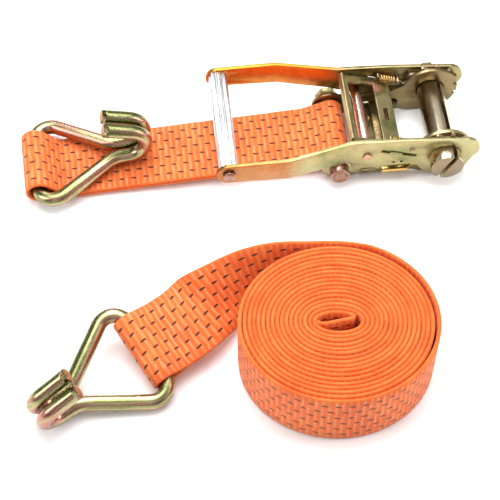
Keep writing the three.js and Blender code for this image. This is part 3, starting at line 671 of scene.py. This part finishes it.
def catmull(points, per=24):
    """Centripetal curve through the points."""
    ends = [points[0] * 2 - points[1]] + points + [points[-1] * 2 - points[-2]]
    out = []
    for p0, p1, p2, p3 in zip(ends, ends[1:], ends[2:], ends[3:]):
        t0 = 0.0
        t1 = t0 + max((p1 - p0).length, 1e-4) ** 0.5
        t2 = t1 + max((p2 - p1).length, 1e-4) ** 0.5
        t3 = t2 + max((p3 - p2).length, 1e-4) ** 0.5
        for i in range(per):
            t = t1 + (t2 - t1) * i / per
            a1 = p0 * ((t1 - t) / (t1 - t0)) + p1 * ((t - t0) / (t1 - t0))
            a2 = p1 * ((t2 - t) / (t2 - t1)) + p2 * ((t - t1) / (t2 - t1))
            a3 = p2 * ((t3 - t) / (t3 - t2)) + p3 * ((t - t2) / (t3 - t2))
            b1 = a1 * ((t2 - t) / (t2 - t0)) + a2 * ((t - t0) / (t2 - t0))
            b2 = a2 * ((t3 - t) / (t3 - t1)) + a3 * ((t - t1) / (t3 - t1))
            out.append(b1 * ((t2 - t) / (t2 - t1)) + b2 * ((t - t1) / (t2 - t1)))
    return out + [points[-1]]


def lead_surface(across0, along0):
    """The lead's stations: its lower edge runs on the floor and its width turns upright."""
    start = LONG_HOOK @ Vector((-TONGUE, 0.0, 0.0)) - across0 * (WEB_WIDTH / 2)
    route = catmull([start, start + along0 * 4] + [around(degrees) for degrees in LEAD_ROUTE])
    route = resampled(route, STEP)
    lean0 = math.asin(across0.z)
    lows, acrosses = [], []
    for i, (low, heading) in enumerate(zip(route, chords(route))):
        t = i / (len(route) - 1)
        heading.z = 0.0
        heading.normalize()
        side = Vector((-heading.y, heading.x, 0.0))
        lean = lean0 + (math.pi / 2 - lean0) * smooth(t, -0.1, 0.8)
        upright = side * math.cos(lean) + Vector((0.0, 0.0, math.sin(lean)))
        acrosses.append(across0.lerp(upright, smooth(t, 0.0, 0.3)).normalized())
        lows.append(Vector((low.x, low.y, max(low.z, FLOOR_GAP + LEAD_HALF_THICK * math.cos(lean)))))
    # webbing bends evenly: ease both edges
    lows, acrosses = eased(lows, LEAD_EASE), eased(acrosses, LEAD_EASE)
    lead = []
    for low, across, heading in zip(lows, acrosses, chords(lows)):
        across = across.normalized()
        lift = max(0.0, FLOOR_GAP + LEAD_HALF_THICK * math.hypot(across.x, across.y) - low.z)
        low = low + Vector((0.0, 0.0, lift))
        lead.append((low + across * (WEB_WIDTH / 2), across, heading.cross(across).normalized()))
    return lead


def inset(phi):
    """Depth below the outer turn after phi degrees: a loose first turn, then regular turns."""
    loose = 2.9 * smooth(phi, 0, 150) + 2.0 * smooth(phi, 140, 380)
    return loose + PITCH * max(0.0, phi - 360) / 360


def ring_points():
    """The roll, clockwise from the lead's end to the core: (point, degrees run), and the degrees reached."""
    total = 360 * TURNS
    deepest = inset(total)
    outer_a, outer_b = ROLL_A + LEAD_OUT, ROLL_B + LEAD_OUT
    ring = []
    phi = 0.35
    while phi < total:
        share = inset(phi) / deepest
        a = outer_a - share * (outer_a - CORE_A)
        b = outer_b - share * (outer_b - CORE_B)
        angle = math.radians(LEAD_ROUTE[-1] - phi)
        wobble = 0.16 * noise.noise(Vector((phi / 70.0, 1.7, 0.0)))
        out = Vector(((a + wobble) * math.cos(angle), (b + wobble) * math.sin(angle), 0.0))
        ring.append((ROLL_AT + out, phi))
        reach = max(8.0, math.hypot(a * math.sin(angle), b * math.cos(angle)))
        step = STEP if phi < 330 else 1.7
        phi += math.degrees(step / reach)
    return ring, phi


def core_points(before, tip):
    """The band crosses the roll's middle as a flat S, after a short bridge from the last ring's tip."""
    last = 88
    inward = []
    for i in range(1, last + 2):
        t = i / (last + 1)
        out = Vector((12.6 * math.cos(math.pi * t), 1.7 * math.sin(2 * math.pi * t), 0.0))
        inward.append(ROLL_AT + out)
    first = min(range(len(inward)), key=lambda k: (inward[k] - tip).length)
    landing = tip.lerp(inward[min(first + 6, last)], 0.5)
    bridge = catmull([before, tip, landing, inward[min(first + 8, last)]], 10)
    return resampled(bridge[11:] + inward[min(first + 9, last):], 1.4)


def long_strap():
    """Tail, sewn eye, the lead turning upright, a loose outer turn and the roll down to its core."""
    spin = LONG_HOOK.to_3x3()
    across0 = spin @ Vector((0.0, -1.0, 0.0))
    mid = PLY / 2 + 0.1
    lead = lead_surface(across0, spin @ Vector((-1.0, 0.0, 0.0)))

    # tail under the lead, then round the hook's bar and back over the top
    r = EYE_R + PLY / 2
    stations = [(c - n * mid, a, -n) for c, a, n in reversed(lead[:TAIL_STEPS + 1])]
    up = tangent_angle(-PINCH, mid, 0, 0, r, -1)
    down = tangent_angle(-PINCH, -mid, 0, 0, r, 1)
    while down > up:
        down -= 2 * math.pi
    flat_end = -TONGUE + 0.6
    local = [(flat_end, -mid), (-PINCH, -mid)] + arc2(0, 0, r, down, up, 40)
    local += [(-PINCH, mid), (flat_end, mid)]
    eye = eased(resampled([Vector((x, 0.0, z)) for x, z in local], STEP), EYE_EASE)
    for p, chord in zip(eye, chords(eye)):
        normal = chord.normalized().cross(Vector((0.0, -1.0, 0.0)))
        stations.append((LONG_HOOK @ p, across0, spin @ normal))
    for i, (c, a, n) in enumerate(lead):
        lift = mid * (1 - smooth(i / len(lead), 0.10, 0.34))
        stations.append((c + n * lift, a, n))

    ring, phi = ring_points()
    core = core_points(ring[-2][0], ring[-1][0])
    points = [p for p, _ in ring] + core
    phis = [p for _, p in ring] + [phi + 2.0 * k for k in range(len(core))]
    up_z = Vector((0.0, 0.0, 1.0))
    for p, turned_by, chord in zip(points, phis, chords(points)):
        lift = 0.55 * noise.noise(Vector((turned_by / 260.0, 5.5, 0.0)))
        lift += 0.3 * noise.noise(Vector((turned_by / 40.0, 7.5, 0.0)))
        z = ROLL_MID_Z + lift * smooth(turned_by, 0, 60)
        stations.append((Vector((p.x, p.y, z)), up_z, chord.normalized().cross(up_z).normalized()))
    return stations


strap, length = band("webbing_long", long_strap(), webbing, thick=2.55, columns=6)
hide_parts("long_strap_eye", "strap_lead", "strap_roll")
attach(strap, "long_strap")
print("flat lengths in mm:", short_flat, round(length))

# ---- finishes of the carried-over parts --------------------------------------------------------
# material and width of the bevelled edges, in millimetres
FINISH = {
    "zinc": (zinc, 0.35), "handle_near": (handle_near, 0.35), "handle_far_reflection_and_shade": (handle_far_reflection_and_shade, 0.35),
    "zinc_far_shaded": (zinc_far_shaded, 0.35), "pawl": (pawl_zinc, 0.3), "rosy": (rosy, 0.3), "steel": (steel, 0.4),
    "wheel_steel_shaded": (wheel_steel_shaded, 0.25), "bolt": (bolt, 0.8), "alloy": (alloy, 0.12),
}
FINISH_OF = {
    "frame_side_near": "zinc", "frame_side_far": "zinc_far_shaded", "anchor_washer_near": "zinc",
    "anchor_washer_far": "zinc", "frame_base_plate": "zinc", "anchor_bolt": "bolt", "anchor_sleeve": "steel",
    "anchor_nut": "zinc", "frame_pawl": "pawl", "spindle_half_left": "steel", "spindle_half_right": "steel",
    "ratchet_wheel_near": "wheel_steel_shaded", "ratchet_wheel_far": "wheel_steel_shaded", "spindle_washer": "zinc",
    "spindle_split_pin": "steel", "handle_side_near": "handle_near", "handle_side_far": "handle_far_reflection_and_shade",
    "handle_spring_pin_near": "bolt", "handle_spring_pin_far": "bolt", "handle_grip": "alloy",
    "grip_bolt": "bolt", "grip_nut": "bolt", "handle_tie_rod": "rosy", "handle_pawl": "zinc",
}

for name, finish in FINISH_OF.items():
    obj = nodes[name]
    paint, width = FINISH[finish]
    obj.data.materials.clear()
    obj.data.materials.append(paint)
    weld = obj.modifiers.new("weld", "WELD")
    weld.merge_threshold = 0.00001
    bevel = obj.modifiers.new("edges", "BEVEL")
    bevel.width = width * MM
    bevel.segments = 2
    bevel.limit_method = "ANGLE"
    bevel.angle_limit = math.radians(32)
    bevel.harden_normals = True
    for face in obj.data.polygons:
        face.use_smooth = True

# ---- floor, lights and camera ------------------------------------------------------------------
floor_mesh = bpy.data.meshes.new("floor")
corners = [(x, y, FLOOR_Z) for x, y in ((-3, -3), (3, -3), (3, 3), (-3, 3))]
floor_mesh.from_pydata(corners, [], [(0, 1, 2, 3)])
floor = bpy.data.objects.new("floor", floor_mesh)
bpy.context.scene.collection.objects.link(floor)
pale, tree, shader = material("pale_floor", Roughness=0.9, Specular_IOR_Level=0.1)
shade = ramp(tree, spots(tree, 3.0), [(0.0, (0.93, 0.93, 0.93)), (1.0, (0.96, 0.96, 0.96))])
drive(tree, shader, Base_Color=shade)
floor_mesh.materials.append(pale)


def softbox(name, at, size, watts):
    """A rectangular light that faces the origin."""
    lamp = bpy.data.lights.new(name, "AREA")
    lamp.shape = "RECTANGLE"
    lamp.size, lamp.size_y = size
    lamp.energy = watts
    obj = bpy.data.objects.new(name, lamp)
    obj.location = at
    obj.rotation_euler = (-Vector(at)).to_track_quat("-Z", "Y").to_euler()
    bpy.context.scene.collection.objects.link(obj)


softbox("overhead", (0.0, 0.25, 1.1), (1.1, 0.7), 16.0)
softbox("left", (-1.0, -0.35, 0.75), (0.5, 0.9), 7.0)
softbox("right", (1.0, -0.1, 0.6), (0.35, 0.9), 5.0)
softbox("strip", (-0.19, 0.73, 0.93), (0.12, 0.7), 6.0)

world = bpy.data.worlds.new("studio")
world.use_nodes = True
bpy.context.scene.world = world
tree = world.node_tree
direction = parts_of(tree, "ShaderNodeTexCoord", "Generated")
sky = ramp(tree, spread(tree, direction[2], -0.2, 1.0), [
    (0.0, (0.55, 0.55, 0.55)), (0.25, (0.42, 0.42, 0.42)), (0.55, (0.85, 0.85, 0.86)),
    (1.0, (1.0, 1.0, 1.0))])
panels = ramp(tree, spread(tree, direction[0], -1.0, 1.0), [
    (0.0, (0.9, 0.9, 0.9)), (0.16, (0.34, 0.33, 0.32)), (0.30, (0.36, 0.35, 0.34)), (0.41, (1.0, 1.0, 1.0)),
    (0.55, (1.0, 1.0, 1.0)), (0.63, (0.42, 0.41, 0.40)), (0.80, (0.50, 0.49, 0.48)), (0.92, (1.0, 1.0, 1.0))])
tree.links.new(mix(tree, 1.0, sky, panels, "MULTIPLY"), tree.nodes["Background"].inputs["Color"])
tree.nodes["Background"].inputs["Strength"].default_value = 1.05

SENSOR = 36.0
FOCAL = 1400 / 500 * SENSOR  # 1400 px across a picture 500 px wide
ELEVATION = math.radians(56.5)
DISTANCE = 959.0

camera_data = bpy.data.cameras.new("camera")
camera_data.sensor_width = SENSOR
camera_data.lens = FOCAL
camera_data.clip_start = 0.05
camera = bpy.data.objects.new("camera", camera_data)
back = Vector((0.0, -math.cos(ELEVATION), math.sin(ELEVATION)))
camera.location = SHIFT * MM + back * (DISTANCE * MM)
camera.rotation_euler = (-back).to_track_quat("-Z", "Y").to_euler()
bpy.context.scene.collection.objects.link(camera)
bpy.context.scene.camera = camera
bpy.context.scene.view_settings.view_transform = "Standard"
